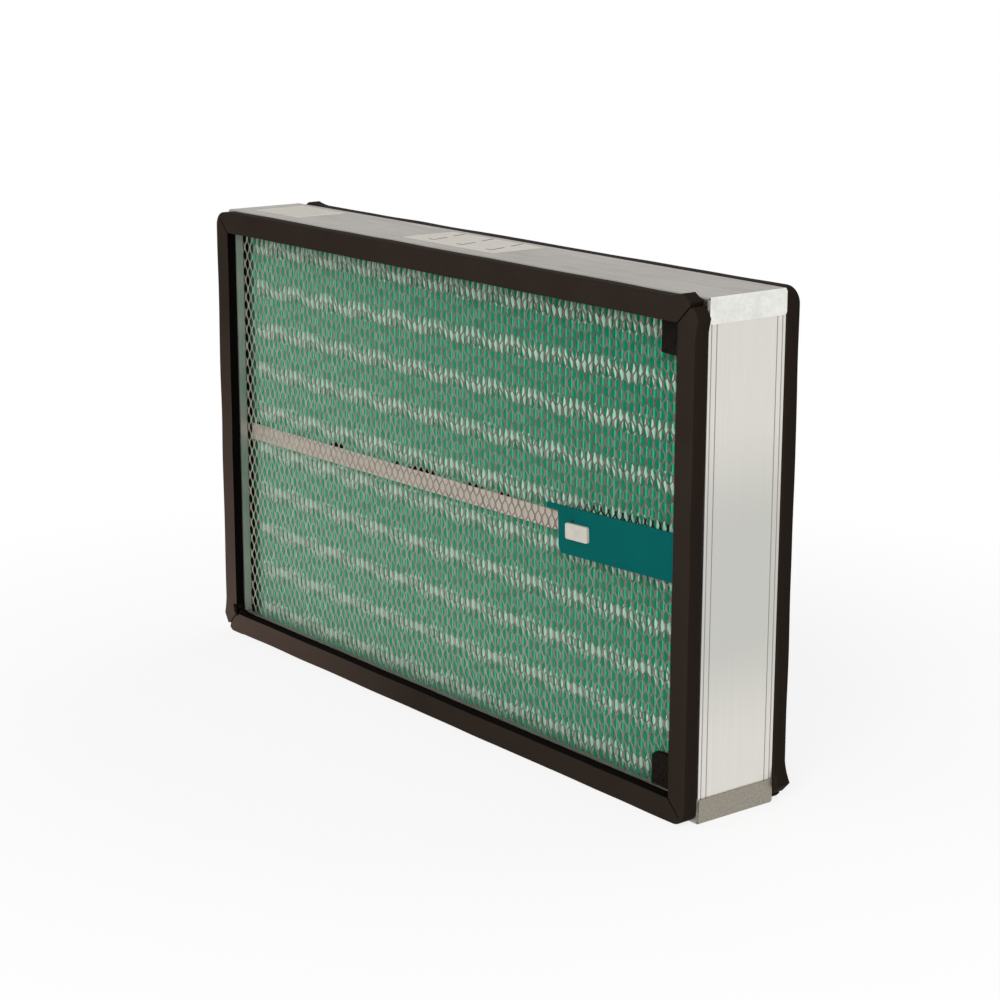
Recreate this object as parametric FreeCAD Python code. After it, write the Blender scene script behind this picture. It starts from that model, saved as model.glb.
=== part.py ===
import FreeCAD, Part
import math
import os

# Panel dust filter: a pleated media pack potted between two folded caps and two
# extruded end profiles, with an expanded metal guard and a foam gasket on each face.
# Millimetres. The origin is the centre of the base, +X along the length, +Z up,
# and the face with the pull tab looks along -Y.

# Metal frame over the outside of the folded caps
frame_length = 495.0
frame_depth = 60.0
frame_height = 305.0

# Folded caps of galvanised sheet
cap_gauge = 0.8
cap_flange = 15.0
cap_bend_radius = 0.6
cap_corner_slit = 0.4
cap_free_corner_radius = 2.0

# Extruded end profiles
profile_wall = 1.2
profile_web = 1.5
profile_chamber = 8.2
profile_end_gap = 0.8
guard_slot_play = 0.4
guard_slot_depth = 2.7
groove_width = 0.6
groove_depth = 0.4
first_groove = 3.0
groove_spacing = 4.0

# Lip that stands out of the frame and locates the gasket
lip_height = 3.4
lip_play = 0.1

# Foam gaskets, two L-shaped strips on each face
gasket_width = 14.0
gasket_thickness = 10.0
gasket_inset = 0.4
fold_radius = 10.0
fold_slit = 0.4
joint_gap = 0.3
joint_cut = 5.2
joint_tip = 4.2
front_flare = 2.5
rear_flare = 4.4
flare_peak = 11.1
flare_reach = 23.5

# Expanded metal guards, drawn with a coarse mesh
guard_thickness = 1.2
guard_end_gap = 1.2
guard_side_border = 5.5
guard_end_border = 15.0
mesh_columns = 28
mesh_rows = 4
strand_width = 3.0

# Pleated media pack
media_thickness = 0.5
pleat_pitch = 5.65
pleat_fold_gap = 0.2
guard_standoff = 5.3
side_seal_thickness = 1.3

# Potting compound in each cap
potting_depth = 7.2

# Lines of spacer glue across the pleat tips
glue_line_pitch = 29.0
glue_line_height = 9.0
glue_line_thickness = 0.8

# Strip across the middle of the front tips
strip_height = 11.6
strip_thickness = 1.0
strip_drop = 2.5
strip_tilt = 0.67

# Pull tab on the front guard
tab_length = 112.0
tab_height = 29.2
tab_thickness = 1.0
tab_corner_radius = 4.5
tab_drop = 1.3
tab_tilt = 2.0
tab_end_play = 0.8
tongue_length = 11.0
tongue_height = 3.2

# Clip on the pull tab
clip_length = 22.4
clip_height = 10.8
clip_thickness = 2.0
clip_corner_radius = 1.6
clip_face_radius = 0.7
clip_from_tab_end = 8.4
clip_rise = 0.8
clip_dimple_radius = 1.1
clip_dimple_depth = 0.4
clip_slot_width = 2.4
clip_slot_height = 13.0
clip_slot_place = 5.4
clip_key_play = 0.2

# Foam pads in the recess corners
pad_thickness = 4.0
upper_pad_length = 21.0
upper_pad_height = 19.5
lower_pad_length = 22.3
lower_pad_height = 19.4
lower_pad_radius = 3.0

# Paper labels on the top cap
label_thickness = 0.2
label_depth = 40.0
label_back_offset = 2.4
left_label_length = 54.0
left_label_start = 17.0
centre_label_length = 95.0
centre_label_start = 193.0

# Places worked out from the sizes above
half_length = frame_length / 2
half_depth = frame_depth / 2
profile_face = half_length - cap_gauge
flange_outer = half_depth - cap_gauge
flange_inner = flange_outer - profile_wall
lip_outer = half_length - gasket_inset - gasket_width - lip_play
lip_inner = lip_outer - profile_wall
inner_web_face = profile_face - profile_web - profile_chamber - profile_wall
guard_back = flange_inner - guard_thickness
potting_top = cap_gauge + potting_depth
tip_plane = guard_back - guard_standoff
pack_height = frame_height - 2 * potting_top
seal_face = inner_web_face - side_seal_thickness
lip_level = gasket_inset + gasket_width + cap_bend_radius
strip_middle = frame_height / 2 - strip_drop
tab_middle = frame_height / 2 - tab_drop


def vec(x, y, z):
    return FreeCAD.Vector(x, y, z)


def block(x0, x1, y0, y1, z0, z1):
    return Part.makeBox(x1 - x0, y1 - y0, z1 - z0, vec(x0, y0, z0))


def prism(corners, along):
    """Extrude the polygon through the given corners."""
    outline = Part.makePolygon(corners + [corners[0]])
    return Part.Face(outline).extrude(along)


def mirrored_x(shape):
    return shape.mirror(vec(0, 0, 0), vec(1, 0, 0))


def turned_half(shape, centre, axis):
    turned = shape.copy()
    turned.rotate(centre, axis, 180)
    return turned


def save(name, shape):
    shape.exportStep("parts/" + name + ".step")
    print(name, "solids", len(shape.Solids), "valid", shape.isValid(), "volume", round(shape.Volume, 1))


def bent_line(points, radii):
    """Edges along the points, with a round bend at each right angle."""
    edges = []
    start = points[0]
    for corner, following, radius in zip(points[1:-1], points[2:], radii):
        back = (start - corner).normalize()
        ahead = (following - corner).normalize()
        enter = corner + back * radius
        leave = corner + ahead * radius
        middle = corner + (back + ahead) * radius * (1 - math.sqrt(0.5))
        edges.append(Part.LineSegment(start, enter).toShape())
        edges.append(Part.Arc(enter, middle, leave).toShape())
        start = leave
    edges.append(Part.LineSegment(start, points[-1]).toShape())
    return edges


def folded_sheet(points, along):
    """A sheet folded at right angles along the points, its gauge to the left of them, as long as given."""
    axis = vec(along.x, along.y, along.z).normalize()
    sideways = [axis.cross((end - start).normalize()) for start, end in zip(points, points[1:])]
    inner_points = [points[0] + sideways[0] * cap_gauge]
    radii = []
    inner_radii = []
    for corner, before, after in zip(points[1:-1], sideways, sideways[1:]):
        inner_points.append(corner + (before + after) * cap_gauge)
        # The gauge is inside the bend where the line turns towards it
        bends_left = axis.dot(before.cross(after)) > 0
        radii.append(cap_bend_radius + (cap_gauge if bends_left else 0))
        inner_radii.append(cap_bend_radius + (0 if bends_left else cap_gauge))
    inner_points.append(points[-1] + sideways[-1] * cap_gauge)
    edges = bent_line(points, radii) + bent_line(inner_points, inner_radii)
    edges.append(Part.LineSegment(points[0], inner_points[0]).toShape())
    edges.append(Part.LineSegment(points[-1], inner_points[-1]).toShape())
    outline = Part.Wire(Part.__sortEdges__(edges))
    return Part.Face(outline).extrude(along)


def bottom_cap():
    """A tray folded from sheet, with lips along its front and rear flanges."""
    outer_bend = cap_bend_radius + cap_gauge
    body_end = profile_face - cap_corner_slit
    lip_reach = half_depth + lip_height
    path = [
        vec(-body_end, -lip_reach, lip_level),
        vec(-body_end, -half_depth, lip_level),
        vec(-body_end, -half_depth, 0),
        vec(-body_end, half_depth, 0),
        vec(-body_end, half_depth, lip_level),
        vec(-body_end, lip_reach, lip_level),
    ]
    body = folded_sheet(path, vec(2 * body_end, 0, 0))
    # The lips stop short of the gasket corners
    for side in (-1, 1):
        outer_edge = side * half_length
        inner_edge = side * (lip_inner - lip_play)
        x0, x1 = sorted((outer_edge, inner_edge))
        for face in (-1, 1):
            y0, y1 = sorted((face * half_depth, face * (lip_reach + 1)))
            body = body.cut(block(x0, x1, y0, y1, 0, frame_height))
        end = end_flange(outer_bend)
        if side < 0:
            end = mirrored_x(end)
        body = body.fuse(end)
    return body.removeSplitter()


def end_flange(outer_bend):
    """The flange that wraps over the right end profile."""
    bend_limit = half_depth - outer_bend
    wing_limit = half_depth - cap_gauge
    root = profile_face - cap_corner_slit - outer_bend
    path = [vec(root, bend_limit, 0), vec(half_length, bend_limit, 0), vec(half_length, bend_limit, cap_flange)]
    bend = folded_sheet(path, vec(0, -2 * bend_limit, 0))
    wing = block(profile_face, half_length, -wing_limit, wing_limit, outer_bend, cap_flange)
    flange = bend.fuse(wing).removeSplitter()
    corners = []
    for edge in flange.Edges:
        ends = edge.Vertexes
        along_x = len(ends) == 2 and abs(ends[0].X - ends[1].X) > cap_gauge / 2
        at_free_edge = abs(edge.CenterOfMass.z - cap_flange) < 0.01
        at_wing_end = abs(abs(edge.CenterOfMass.y) - wing_limit) < 0.01
        if along_x and at_free_edge and at_wing_end:
            corners.append(edge)
    return flange.makeFillet(cap_free_corner_radius, corners)


def profile_section():
    """Outline of the right end profile, from its front lip round to its rear lip."""
    lip_tip = half_depth + lip_height
    rib_outer = guard_back - guard_slot_play
    rib_inner = rib_outer - profile_wall
    rib_end = inner_web_face - guard_slot_depth
    half = [
        (lip_inner, 0 - lip_tip),
        (lip_outer, 0 - lip_tip),
        (lip_outer, 0 - flange_outer),
        (profile_face, 0 - flange_outer),
    ]
    for place in (first_groove, first_groove + groove_spacing):
        y_start = -half_depth + place - groove_width / 2
        half.append((profile_face, y_start))
        half.append((profile_face - groove_depth, y_start + groove_width / 2))
        half.append((profile_face, y_start + groove_width))
    inside = [
        (inner_web_face, -rib_inner),
        (rib_end, -rib_inner),
        (rib_end, -rib_outer),
        (inner_web_face, -rib_outer),
        (inner_web_face, -flange_inner),
        (lip_inner, -flange_inner),
    ]
    outside_rear = [(x, -y) for x, y in reversed(half)]
    inside_rear = [(x, -y) for x, y in reversed(inside)]
    return half + outside_rear + inside_rear + inside


def right_end_profile():
    """A hollow extrusion with a gasket lip, a guard slot and two grooves near each edge."""
    z0 = cap_gauge + profile_end_gap
    z1 = frame_height - z0
    along = vec(0, 0, z1 - z0)
    profile = prism([vec(x, y, z0) for x, y in profile_section()], along)
    chamber_out = profile_face - profile_web
    chamber_in = chamber_out - profile_chamber
    profile = profile.cut(block(chamber_in, chamber_out, -flange_inner, flange_inner, z0, z1))
    # The lips are notched where the caps wrap over the ends
    notch = lip_level + cap_gauge + lip_play
    for face in (-1, 1):
        y0, y1 = sorted((face * flange_outer, face * (half_depth + lip_height)))
        profile = profile.cut(block(lip_inner, lip_outer, y0, y1, z0, notch))
        profile = profile.cut(block(lip_inner, lip_outer, y0, y1, frame_height - notch, z1))
    return profile


def front_guard():
    """Expanded metal with upright diamonds and a plain border."""
    reach = inner_web_face - lip_play
    z0 = cap_gauge + guard_end_gap
    z1 = frame_height - z0
    length = 2 * (reach - guard_side_border)
    height = z1 - z0 - 2 * guard_end_border
    column = length / mesh_columns
    row = height / (mesh_rows + 0.5)
    # Half width and half height of an opening, less the strands beside it
    slope = math.atan2(row / 2, column)
    half_wide = column - strand_width / 2 / math.sin(slope)
    half_high = row / 2 - strand_width / 2 / math.cos(slope)
    outline = [vec(-reach, -flange_inner, z0), vec(reach, -flange_inner, z0)]
    outline += [vec(reach, -flange_inner, z1), vec(-reach, -flange_inner, z1)]
    wires = [Part.makePolygon(outline + [outline[0]])]
    for i in range(mesh_columns - 1):
        x = -length / 2 + (i + 1) * column
        for j in range(mesh_rows):
            z = z0 + guard_end_border + (j + 0.5 + 0.5 * (i % 2)) * row
            corners = [
                vec(x - half_wide, -flange_inner, z),
                vec(x, -flange_inner, z - half_high),
                vec(x + half_wide, -flange_inner, z),
                vec(x, -flange_inner, z + half_high),
            ]
            wires.append(Part.makePolygon(corners + [corners[0]]))
    sheet = Part.Face(wires, "Part::FaceMakerBullseye")
    return sheet.extrude(vec(0, guard_thickness, 0))


def pleat_pack():
    """One sheet of media folded into upright pleats between the end seals."""
    tip_width = 2 * media_thickness + pleat_fold_gap
    pleats = round((2 * seal_face - tip_width) / pleat_pitch)
    pitch = (2 * seal_face - tip_width) / pleats
    first_tip = -seal_face + tip_width / 2
    front_skin = [(-seal_face, tip_plane), (-seal_face, -tip_plane)]
    rear_skin = [(-seal_face + media_thickness, tip_plane)]
    for i in range(pleats):
        front_tip = first_tip + i * pitch
        rear_tip = front_tip + pitch / 2
        front_skin.append((front_tip + tip_width / 2, -tip_plane))
        front_skin.append((rear_tip - pleat_fold_gap / 2, tip_plane - media_thickness))
        front_skin.append((rear_tip + pleat_fold_gap / 2, tip_plane - media_thickness))
        front_skin.append((front_tip + pitch - tip_width / 2, -tip_plane))
        rear_skin.append((front_tip - pleat_fold_gap / 2, -tip_plane + media_thickness))
        rear_skin.append((front_tip + pleat_fold_gap / 2, -tip_plane + media_thickness))
        rear_skin.append((rear_tip - tip_width / 2, tip_plane))
        rear_skin.append((rear_tip + tip_width / 2, tip_plane))
    last_tip = first_tip + pleats * pitch
    front_skin += [(seal_face, -tip_plane), (seal_face, tip_plane)]
    rear_skin.append((last_tip - pleat_fold_gap / 2, -tip_plane + media_thickness))
    rear_skin.append((last_tip + pleat_fold_gap / 2, -tip_plane + media_thickness))
    rear_skin.append((seal_face - media_thickness, tip_plane))
    outline = [vec(x, y, potting_top) for x, y in front_skin + list(reversed(rear_skin))]
    return prism(outline, vec(0, 0, pack_height))


def front_glue_lines():
    """Level lines of glue that space the pleat tips, as many above the centre strip as below it."""
    lines = []
    y0 = -tip_plane - glue_line_thickness
    room = strip_middle - potting_top - glue_line_height / 2
    lines_each_way = int(room / glue_line_pitch + 0.5)
    for i in range(-lines_each_way, lines_each_way):
        middle = strip_middle + (i + 0.5) * glue_line_pitch
        lower = middle - glue_line_height / 2
        lines.append(block(-seal_face, seal_face, y0, -tip_plane, lower, lower + glue_line_height))
    return Part.makeCompound(lines)


def side_seal():
    """Bead that bonds the last leaf of the pack to the right end profile."""
    return block(seal_face, inner_web_face, -tip_plane, tip_plane, potting_top, frame_height - potting_top)


def bottom_potting(dipped_pieces):
    """Compound poured into the bottom cap, with the prints of what stands in it."""
    pool = block(-inner_web_face, inner_web_face, -flange_outer, flange_outer, cap_gauge, potting_top)
    for piece in dipped_pieces:
        pool = pool.cut(piece)
    return pool


def gasket_strip(flare_height):
    """A front strip that runs up the left side, folds and runs along the top."""
    y = -half_depth - gasket_thickness
    left = -half_length
    right = half_length
    top = frame_height
    out = gasket_inset
    inn = gasket_inset + gasket_width
    tip = joint_tip
    cut = joint_cut
    gap = joint_gap / 2 * math.sqrt(2)

    def at(x, z):
        return vec(x, y, z)

    def flare(start, peak, sag):
        return Part.Arc(start, sag, peak).toShape()

    # Upper right end, with its outer edge flared where the foam is pushed together
    top_leave = at(right - flare_reach, top - out)
    top_peak = at(right - flare_peak, top - out + flare_height)
    top_sag = at(right - (flare_reach + flare_peak) / 2, top - out + flare_height * 0.35)
    top_tip = at(right - tip - gap, top - tip / 2)
    top_cut = at(right - cut - gap, top - cut)
    top_inner = at(right - inn - gap, top - inn)
    # Lower left end, the same shape with its flare to the side
    low_leave = at(left + out, flare_reach)
    low_peak = at(left + out - flare_height, flare_peak)
    low_sag = at(left + out - flare_height * 0.35, (flare_reach + flare_peak) / 2)
    low_tip = at(left + tip / 2, tip + gap)
    low_cut = at(left + cut, cut + gap)
    low_inner = at(left + inn, inn + gap)
    # Folded upper left corner, round outside and slit from the inside
    round_start = at(left + out, top - out - fold_radius)
    round_end = at(left + out + fold_radius, top - out)
    bulge = fold_radius * (1 - math.sqrt(0.5))
    round_middle = at(left + out + bulge, top - out - bulge)
    slit_low = at(left + inn, top - inn - fold_slit)
    slit_high = at(left + inn + fold_slit, top - inn)
    slit_root = at(left + cut, top - cut)

    edges = [flare(low_leave, low_peak, low_sag)]
    line = [low_peak, low_tip, low_cut, low_inner, slit_low, slit_root, slit_high]
    line += [top_inner, top_cut, top_tip, top_peak]
    for start, end in zip(line, line[1:]):
        edges.append(Part.LineSegment(start, end).toShape())
    edges.append(flare(top_leave, top_peak, top_sag))
    edges.append(Part.LineSegment(top_leave, round_end).toShape())
    edges.append(Part.Arc(round_end, round_middle, round_start).toShape())
    edges.append(Part.LineSegment(round_start, low_leave).toShape())
    outline = Part.Wire(Part.__sortEdges__(edges))
    strip = Part.Face(outline).extrude(vec(0, gasket_thickness, 0))
    return strip


def resting_strip(strip):
    """The opposite strip of a face, with its lower flare pressed flat at the base."""
    opposite = turned_half(strip, vec(0, 0, frame_height / 2), vec(0, 1, 0))
    floor = block(-frame_length, frame_length, -frame_depth, frame_depth, -frame_height, 0)
    return opposite.cut(floor)


def tilted(shape, middle_x, middle_z, angle):
    leaning = shape.copy()
    leaning.rotate(vec(middle_x, 0, middle_z), vec(0, 1, 0), -angle)
    return leaning


def centre_strip():
    """Flat strip across the pleat tips at half height."""
    y0 = -tip_plane - strip_thickness
    lower = strip_middle - strip_height / 2
    strip = block(-seal_face, seal_face, y0, -tip_plane, lower, lower + strip_height)
    return tilted(strip, 0, strip_middle, strip_tilt)


def tab_frame():
    """Left end, right end and middle of the pull tab's body."""
    right = lip_inner - tab_end_play
    left = right - tab_length
    return left, right, (left + right) / 2


def clip_left_end():
    left, right, middle = tab_frame()
    return left + clip_from_tab_end


def pull_tab():
    """Flat plate with a tongue at its upper left corner and a slot for the clip."""
    left, right, middle = tab_frame()
    lower = tab_middle - tab_height / 2
    upper = tab_middle + tab_height / 2
    y = -flange_inner - tab_thickness
    plate = block(left, right, y, -flange_inner, lower, upper)
    corner = [edge for edge in plate.Edges if edge.CenterOfMass.x < left + 0.01 and edge.CenterOfMass.z < lower + 0.01]
    plate = plate.makeFillet(tab_corner_radius, corner)
    tongue = block(left - tongue_length, left, y, -flange_inner, upper - tongue_height, upper)
    plate = plate.fuse(tongue).removeSplitter()
    slot_x = clip_left_end() + clip_slot_place
    slot_z = tab_middle + clip_rise
    x0 = slot_x - clip_slot_width / 2
    z0 = slot_z - clip_slot_height / 2
    plate = plate.cut(block(x0, x0 + clip_slot_width, y, -flange_inner, z0, z0 + clip_slot_height))
    return tilted(plate, middle, tab_middle, tab_tilt)


def tab_clip():
    """Moulded clip with a gate dimple, keyed into the slot of the pull tab."""
    left, right, middle = tab_frame()
    x0 = clip_left_end()
    z0 = tab_middle + clip_rise - clip_height / 2
    back = -flange_inner - tab_thickness
    front = back - clip_thickness
    body = block(x0, x0 + clip_length, front, back, z0, z0 + clip_height)
    corners = [edge for edge in body.Edges if abs(edge.CenterOfMass.y - (front + back) / 2) < 0.01]
    body = body.makeFillet(clip_corner_radius, corners)
    rim = [edge for edge in body.Edges if abs(edge.CenterOfMass.y - front) < 0.01]
    body = body.makeFillet(clip_face_radius, rim)
    ball_radius = (clip_dimple_radius ** 2 + clip_dimple_depth ** 2) / (2 * clip_dimple_depth)
    dimple = Part.makeSphere(ball_radius)
    slot_x = x0 + clip_slot_place
    middle_z = z0 + clip_height / 2
    dimple.translate(vec(slot_x, front - ball_radius + clip_dimple_depth, middle_z))
    body = body.cut(dimple)
    key_half = clip_slot_width / 2 - clip_key_play
    key_top = clip_height / 2 - clip_key_play
    key = block(slot_x - key_half, slot_x + key_half, back, -flange_inner, middle_z - key_top, middle_z + key_top)
    return tilted(body.fuse(key), middle, tab_middle, tab_tilt)


def upper_corner_pad():
    right = lip_inner
    top = frame_height - lip_level - cap_gauge
    front = -flange_inner - pad_thickness
    return block(right - upper_pad_length, right, front, -flange_inner, top - upper_pad_height, top)


def lower_corner_pad():
    right = lip_inner
    base = lip_level + cap_gauge
    front = -flange_inner - pad_thickness
    pad = block(right - lower_pad_length, right, front, -flange_inner, base, base + lower_pad_height)
    edges = []
    for edge in pad.Edges:
        at_top = edge.CenterOfMass.z > base + lower_pad_height - 0.01
        at_side = abs(edge.CenterOfMass.x - right + lower_pad_length / 2) > lower_pad_length / 2 - 0.01
        if at_top and at_side:
            edges.append(edge)
    return pad.makeFillet(lower_pad_radius, edges)


def label(start, length):
    x0 = -half_length + start
    y0 = label_back_offset - label_depth / 2
    return block(x0, x0 + length, y0, y0 + label_depth, frame_height, frame_height + label_thickness)


os.makedirs("parts", exist_ok=True)

face_centre = vec(0, 0, frame_height / 2)
long_way = vec(1, 0, 0)
upright_way = vec(0, 0, 1)

low_cap = bottom_cap()
high_cap = turned_half(low_cap, face_centre, long_way)
save("bottom_cap", low_cap)
save("top_cap", high_cap)

right_profile = right_end_profile()
left_profile = turned_half(right_profile, face_centre, upright_way)
save("right_end_profile", right_profile)
save("left_end_profile", left_profile)

face_guard = front_guard()
back_guard = turned_half(face_guard, face_centre, upright_way)
save("front_guard", face_guard)
save("rear_guard", back_guard)

save("pleat_pack", pleat_pack())
glue_lines = front_glue_lines()
save("front_glue_lines", glue_lines)
save("rear_glue_lines", turned_half(glue_lines, face_centre, upright_way))

right_seal = side_seal()
save("right_side_seal", right_seal)
save("left_side_seal", turned_half(right_seal, face_centre, upright_way))

low_potting = bottom_potting([low_cap, right_profile, left_profile, face_guard, back_guard])
save("bottom_potting", low_potting)
save("top_potting", turned_half(low_potting, face_centre, long_way))

front_strip = gasket_strip(front_flare)
save("front_gasket_left_top", front_strip)
save("front_gasket_right_bottom", resting_strip(front_strip))
rear_strip = gasket_strip(rear_flare)
save("rear_gasket_right_top", turned_half(rear_strip, face_centre, upright_way))
save("rear_gasket_left_bottom", turned_half(resting_strip(rear_strip), face_centre, upright_way))

save("centre_strip", centre_strip())
save("pull_tab", pull_tab())
save("tab_clip", tab_clip())
save("upper_corner_pad", upper_corner_pad())
save("lower_corner_pad", lower_corner_pad())
save("label_left", label(left_label_start, left_label_length))
save("label_centre", label(centre_label_start, centre_label_length))
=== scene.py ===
import math
import bpy
from mathutils import Matrix, Vector, noise


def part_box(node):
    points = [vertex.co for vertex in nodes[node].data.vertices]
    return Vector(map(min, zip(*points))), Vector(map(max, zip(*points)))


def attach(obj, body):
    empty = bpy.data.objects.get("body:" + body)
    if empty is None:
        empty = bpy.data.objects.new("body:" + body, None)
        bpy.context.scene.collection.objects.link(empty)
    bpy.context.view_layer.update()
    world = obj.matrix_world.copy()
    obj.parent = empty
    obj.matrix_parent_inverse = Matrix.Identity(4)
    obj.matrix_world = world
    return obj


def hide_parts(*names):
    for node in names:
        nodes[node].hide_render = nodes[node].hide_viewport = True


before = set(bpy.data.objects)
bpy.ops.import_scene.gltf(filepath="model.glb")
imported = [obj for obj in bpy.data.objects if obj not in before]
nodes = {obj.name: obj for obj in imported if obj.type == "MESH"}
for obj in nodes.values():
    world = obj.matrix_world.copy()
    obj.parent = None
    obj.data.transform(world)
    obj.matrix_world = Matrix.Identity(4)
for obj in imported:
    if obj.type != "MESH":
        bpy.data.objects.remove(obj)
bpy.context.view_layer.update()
mm = 0.001
print("frame loaded", len(nodes), "nodes")


# Sets an sRGB hex colour out as the linear values that a shader takes
def toLinear(hexCode):
    channels = [int(hexCode[i:i + 2], 16) / 255 for i in (1, 3, 5)]
    return [c / 12.92 if c <= 0.04045 else ((c + 0.055) / 1.055) ** 2.4 for c in channels] + [1.0]


# Adds one node with its settings and links
def addNode(tree, kind, settings={}, links={}):
    node = tree.nodes.new("ShaderNode" + kind)
    for name, value in settings.items():
        if isinstance(name, str) and hasattr(node, name):
            setattr(node, name, value)
        else:
            node.inputs[name].default_value = value
    for name, source in links.items():
        tree.links.new(source, node.inputs[name])
    return node


def startMaterial(name, settings):
    material = bpy.data.materials.new(name)
    material.use_nodes = True
    tree = material.node_tree
    shader = tree.nodes["Principled BSDF"]
    for socket, value in settings.items():
        shader.inputs[socket].default_value = value
    coords = addNode(tree, "TexCoord").outputs["Object"]
    return material, tree, shader.inputs, coords


# Zinc-coated steel sheet, rolled and folded: dull grey with soft clouds and streaks along the roll, frosty and painted
# bright as a painted highlight on the upper end flanges, and speckled where it was handled on the lower ones
sheetLook = {"light": "#A8A49E", "dark": "#9B978F", "frostHighlight": "#F4F4EE", "frostShade": "#E4E4DE", "speck": "#A39C91",
             "speckShade": "#928B80", "cloud": 38, "streak": 8, "frostGrain": 5, "speckGrain": 1.5, "grain": 1.6,
             "endFace": 246.5, "middle": 152.5}
galvanisedSheet, tree, shader, coords = startMaterial(
    "galvanisedSheet", {"Metallic": 1.0, "Roughness": 0.46})
place = addNode(tree, "SeparateXYZ", {}, {0: coords})
along = addNode(tree, "Mapping", {"Scale": (0.06, 1, 1)}, {"Vector": coords})
clouds = addNode(tree, "TexNoise", {"Scale": 1 / (sheetLook["cloud"] * mm), "Detail": 5, "Roughness": 0.6},
                 {"Vector": coords})
streaks = addNode(tree, "TexNoise", {"Scale": 1 / (sheetLook["streak"] * mm), "Detail": 4},
                  {"Vector": along.outputs[0]})
cover = addNode(tree, "Math", {"operation": "ADD"}, {0: clouds.outputs["Fac"], 1: streaks.outputs["Fac"]})
spread = addNode(tree, "MapRange", {1: 0.8, 2: 1.2}, {0: cover.outputs[0]})
tint = addNode(tree, "Mix", {"data_type": "RGBA", 6: toLinear(sheetLook["dark"]), 7: toLinear(sheetLook["light"])},
               {0: spread.outputs[0]})
frosting = addNode(tree, "TexNoise", {"Scale": 1 / (sheetLook["frostGrain"] * mm), "Detail": 5, "Roughness": 0.7},
                   {"Vector": coords})
spread = addNode(tree, "MapRange", {1: 0.35, 2: 0.65}, {0: frosting.outputs["Fac"]})
frostHighlight = addNode(tree, "Mix",
                {"data_type": "RGBA", 6: toLinear(sheetLook["frostShade"]), 7: toLinear(sheetLook["frostHighlight"])},
                {0: spread.outputs[0]})
specks = addNode(tree, "TexNoise", {"Scale": 1 / (sheetLook["speckGrain"] * mm), "Detail": 3, "Roughness": 0.6},
                 {"Vector": coords})
spread = addNode(tree, "MapRange", {1: 0.35, 2: 0.65}, {0: specks.outputs["Fac"]})
speckled = addNode(tree, "Mix",
                   {"data_type": "RGBA", 6: toLinear(sheetLook["speckShade"]), 7: toLinear(sheetLook["speck"])},
                   {0: spread.outputs[0]})
# Painted highlight: the end flanges above the middle take the bright frosty colour, the lower ones the speckled one
outward = addNode(tree, "Math", {"operation": "ABSOLUTE"}, {0: place.outputs["X"]})
onEnd = addNode(tree, "Math", {"operation": "GREATER_THAN", 1: sheetLook["endFace"] * mm}, {0: outward.outputs[0]})
upper = addNode(tree, "Math", {"operation": "GREATER_THAN", 1: sheetLook["middle"] * mm}, {0: place.outputs["Z"]})
ends = addNode(tree, "Mix", {"data_type": "RGBA"},
               {0: upper.outputs[0], 6: speckled.outputs[2], 7: frostHighlight.outputs[2]})
zinc = addNode(tree, "Mix", {"data_type": "RGBA"}, {0: onEnd.outputs[0], 6: tint.outputs[2], 7: ends.outputs[2]})
tree.links.new(zinc.outputs[2], shader["Base Color"])
grain = addNode(tree, "TexNoise", {"Scale": 1 / (sheetLook["grain"] * mm), "Detail": 3}, {"Vector": along.outputs[0]})
satin = addNode(tree, "MapRange", {1: 0.3, 2: 0.7, 3: 0.4, 4: 0.54}, {0: grain.outputs["Fac"]})
tree.links.new(satin.outputs[0], shader["Roughness"])
dents = addNode(tree, "Bump", {"Strength": 0.06, "Distance": 0.2 * mm}, {"Height": grain.outputs["Fac"]})
tree.links.new(dents.outputs[0], shader["Normal"])

# Mill-finish aluminium, extruded: pale satin with fine upright lines left by the die, with a painted reflection that
# makes it duller across the middle of its height, painted shade in the grooves near its edges, and painted shade,
# nearly black, inside
profileLook = {"light": "#E1DED7", "dark": "#DCD9D2", "dullReflection": "#C3C4BE", "grooveShade": "#A59F98", "paintedRecessShade": "#10241A",
               "line": 1.3, "guardFace": 27, "webFace": 246}
millAluminium, tree, shader, coords = startMaterial("millAluminium", {"Metallic": 0.85, "Roughness": 0.38})
upright = addNode(tree, "Mapping", {"Scale": (1, 1, 0.012)}, {"Vector": coords})
dieLines = addNode(tree, "TexNoise", {"Scale": 1 / (profileLook["line"] * mm), "Detail": 3},
                   {"Vector": upright.outputs[0]})
spread = addNode(tree, "MapRange", {1: 0.3, 2: 0.7}, {0: dieLines.outputs["Fac"]})
tint = addNode(tree, "Mix",
               {"data_type": "RGBA", 6: toLinear(profileLook["dark"]), 7: toLinear(profileLook["light"])},
               {0: spread.outputs[0]})
height = addNode(tree, "SeparateXYZ", {}, {0: coords})
# Painted reflection: duller across the middle of the height, fading out towards the ends
away = addNode(tree, "Math", {"operation": "SUBTRACT", 1: 0.14}, {0: height.outputs["Z"]})
away = addNode(tree, "Math", {"operation": "ABSOLUTE"}, {0: away.outputs[0]})
paintedReflectionBand = addNode(tree, "MapRange", {"interpolation_type": "SMOOTHSTEP", 1: 0.1, 2: 0.03, 3: 0.0, 4: 0.75},
                  {0: away.outputs[0]})
withReflectionBand = addNode(tree, "Mix", {"data_type": "RGBA", 7: toLinear(profileLook["dullReflection"])},
                {0: paintedReflectionBand.outputs[0], 6: tint.outputs[2]})
across = addNode(tree, "Math", {"operation": "ABSOLUTE"}, {0: height.outputs["Y"]})
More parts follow.
